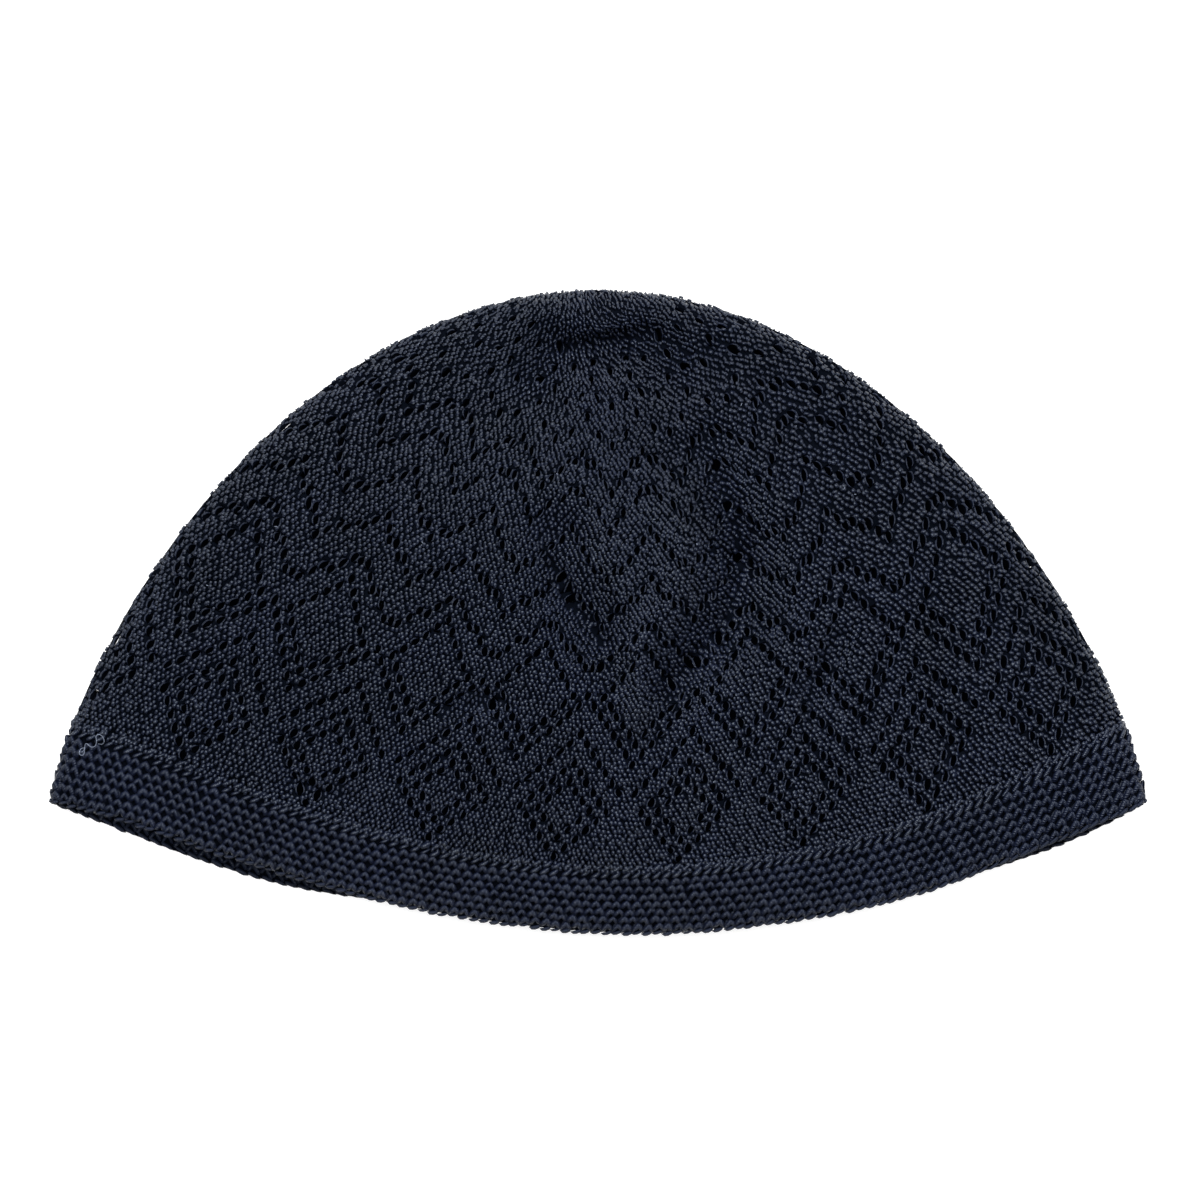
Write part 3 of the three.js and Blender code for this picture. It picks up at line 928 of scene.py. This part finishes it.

# Stray fibres: a pale curl on the band's left end, and bits of lint over the crown whose pale colour is
# partly a painted highlight standing for glints of fibres
strayFibre = {
    "colour": "#7d8698",
    "rough": (0.5, 0.6),
    "glint": 0.3,
    "thick": 0.055,  # mm
    "sides": 5,
    "curlStart": (-4.27, 0.075),  # wale and rise
    "curlAcross": (0.0323, 0.002),  # wale and rise for each millimetre across the picture
    "curlUp": (-0.0107, 0.0048),  # the same up the picture
    # millimetres across and up from the curl's start
    "curl": [
        (0, 0), (0.8, -0.5), (1.5, 0.4), (0.6, 0.4), (0.3, -0.9), (1.2, -1.2), (1.5, 1.2), (2.1, 1.5),
        (3, 0.6), (3.9, 0.9), (4.3, 2.1), (4.1, 3.3), (4.7, 3.8), (5.7, 3), (6, 1.8), (5.3, 1.2), (4.4, 1.5),
    ],
    "curlPoints": 60,
    "curlLift": (0.3, 0.2),  # mm above the outer face, and how far that swings
    "curlTaper": 0.2,  # power of the sine that thins its ends
    "bits": 36,
    "bitArea": ((-4.1, 0.12), (3.6, 0.93)),  # wale and rise, lowest and highest
    "bitStations": (-0.5, -0.2, 0.2, 0.5),
    "bitThick": (0, 1, 1, 0),
    "bitLength": 0.55,  # mm
    "bitLengths": (0.5, 1.5),  # of that
    "bitDepth": 0.05,  # mm
}
fibreLook = {
    "deep": strayFibre["colour"],
    "worn": strayFibre["colour"],
    "rough": strayFibre["rough"],
    "glint": strayFibre["glint"],
}
fibreYarn = yarnMaterial("strayFibre", {**yarnLook, **fibreLook}, False)
turnRows = [(i, *place) for i, place in enumerate(strayFibre["curl"])]
t = np.linspace(0, len(turnRows) - 1, strayFibre["curlPoints"])[None]
across, up = smoothRead(turnRows, 1, t), smoothRead(turnRows, 2, t)
start, runAcross, runUp = (strayFibre[key] for key in ("curlStart", "curlAcross", "curlUp"))
wale, rise = (start[i] + runAcross[i] * across + runUp[i] * up for i in (0, 1))
thick = strayFibre["thick"] * np.sin(np.pi * t / t.max()) ** strayFibre["curlTaper"]
lift, swing = strayFibre["curlLift"]
arrays = strands(wale, rise, -lift - swing * np.sin(2 * t), thick, thick, strayFibre["sides"])
makePiece("strayCurl", arrays[0], arrays[1], {"OFBake": arrays[2]}, fibreYarn)
# Lint bits: stray fibres, with their pale colour partly a painted highlight for glints of fibres
spot = rng.uniform(*strayFibre["bitArea"], (strayFibre["bits"], 2))
angle = rng.uniform(0, np.pi, (strayFibre["bits"], 1))
t = np.array([strayFibre["bitStations"]])
reach = strayFibre["bitLength"] * rng.uniform(*strayFibre["bitLengths"], angle.shape) * t
bitWale = spot[:, :1] + np.cos(angle) * reach / walePitch(spot[:, 1:], waleLay["repeats"])
bitRise = spot[:, 1:] + np.sin(angle) * reach / capForm["height"]
thick = strayFibre["thick"] * np.array([strayFibre["bitThick"]]) + 0 * reach
arrays = strands(bitWale, bitRise, strayFibre["bitDepth"] + 0 * reach, thick, thick, strayFibre["sides"])
makePiece("lintAndPaintedGlints", arrays[0], arrays[1], {"OFBake": arrays[2]}, fibreYarn)

# Floor, light and camera
studio = {
    "floor": "#c0c0c0",  # opal acrylic, lit from below
    "floorGlow": 0.7,
    "floorRough": 0.9,
    "floorSide": 6.0,  # metres
    "floorDrop": 0.0003,  # metres below the cap
    "world": 0.07,
    # place and size in metres, power in watts
    "lamps": [((0.02, 0.56, 1.3), 1.8, 73)],
    "lens": 200,
    "sensor": 36,
    "pictureWidth": 1200,  # pixels of the photograph
    "millimetresPerPixel": 0.2273,
    "capMiddle": (598.5, 611.5),  # pixel of the middle of the cap's outline
}
half = studio["floorSide"] / 2
floorMesh = bpy.data.meshes.new("floor")
corners = ((-half, -half), (half, -half), (half, half), (-half, half))
floorMesh.from_pydata([(x, y, -studio["floorDrop"]) for x, y in corners], [], [(0, 1, 2, 3)])
floor = bpy.data.objects.new("floor", floorMesh)
bpy.context.collection.objects.link(floor)
opal = bpy.data.materials.new("opalLightTable")
opal.use_nodes = True
opalInputs = opal.node_tree.nodes["Principled BSDF"].inputs
opalInputs["Base Color"].default_value = linear(studio["floor"])
opalInputs["Roughness"].default_value = studio["floorRough"]
opalInputs["Emission Color"].default_value = (1, 1, 1, 1)
opalInputs["Emission Strength"].default_value = studio["floorGlow"]
floorMesh.materials.append(opal)

world = bpy.data.worlds.new("studio")
bpy.context.scene.world = world
world.use_nodes = True
world.node_tree.nodes["Background"].inputs["Color"].default_value = (1, 1, 1, 1)
world.node_tree.nodes["Background"].inputs["Strength"].default_value = studio["world"]

for place, size, power in studio["lamps"]:
    lampData = bpy.data.lights.new("softBox", "AREA")
    lampData.size = size
    lampData.energy = power
    lamp = bpy.data.objects.new("softBox", lampData)
    lamp.location = place
    lamp.rotation_mode = "QUATERNION"
    lamp.rotation_quaternion = (-lamp.location).to_track_quat("-Z", "Y")
    bpy.context.collection.objects.link(lamp)

cameraData = bpy.data.cameras.new("camera")
cameraData.lens = studio["lens"]
cameraData.sensor_width = studio["sensor"]
camera = bpy.data.objects.new("camera", cameraData)
pixel = studio["millimetresPerPixel"] * mm
picture = studio["pictureWidth"] * pixel
toCentre = (studio["pictureWidth"] / 2 - np.array(studio["capMiddle"])) * pixel
distance = picture * studio["lens"] / studio["sensor"]
camera.location = (toCentre[0], -toCentre[1], foldMiddle * mm + distance)
bpy.context.collection.objects.link(camera)
bpy.context.scene.camera = camera
bpy.context.scene.view_settings.view_transform = "Standard"
print("floor, light and camera set")
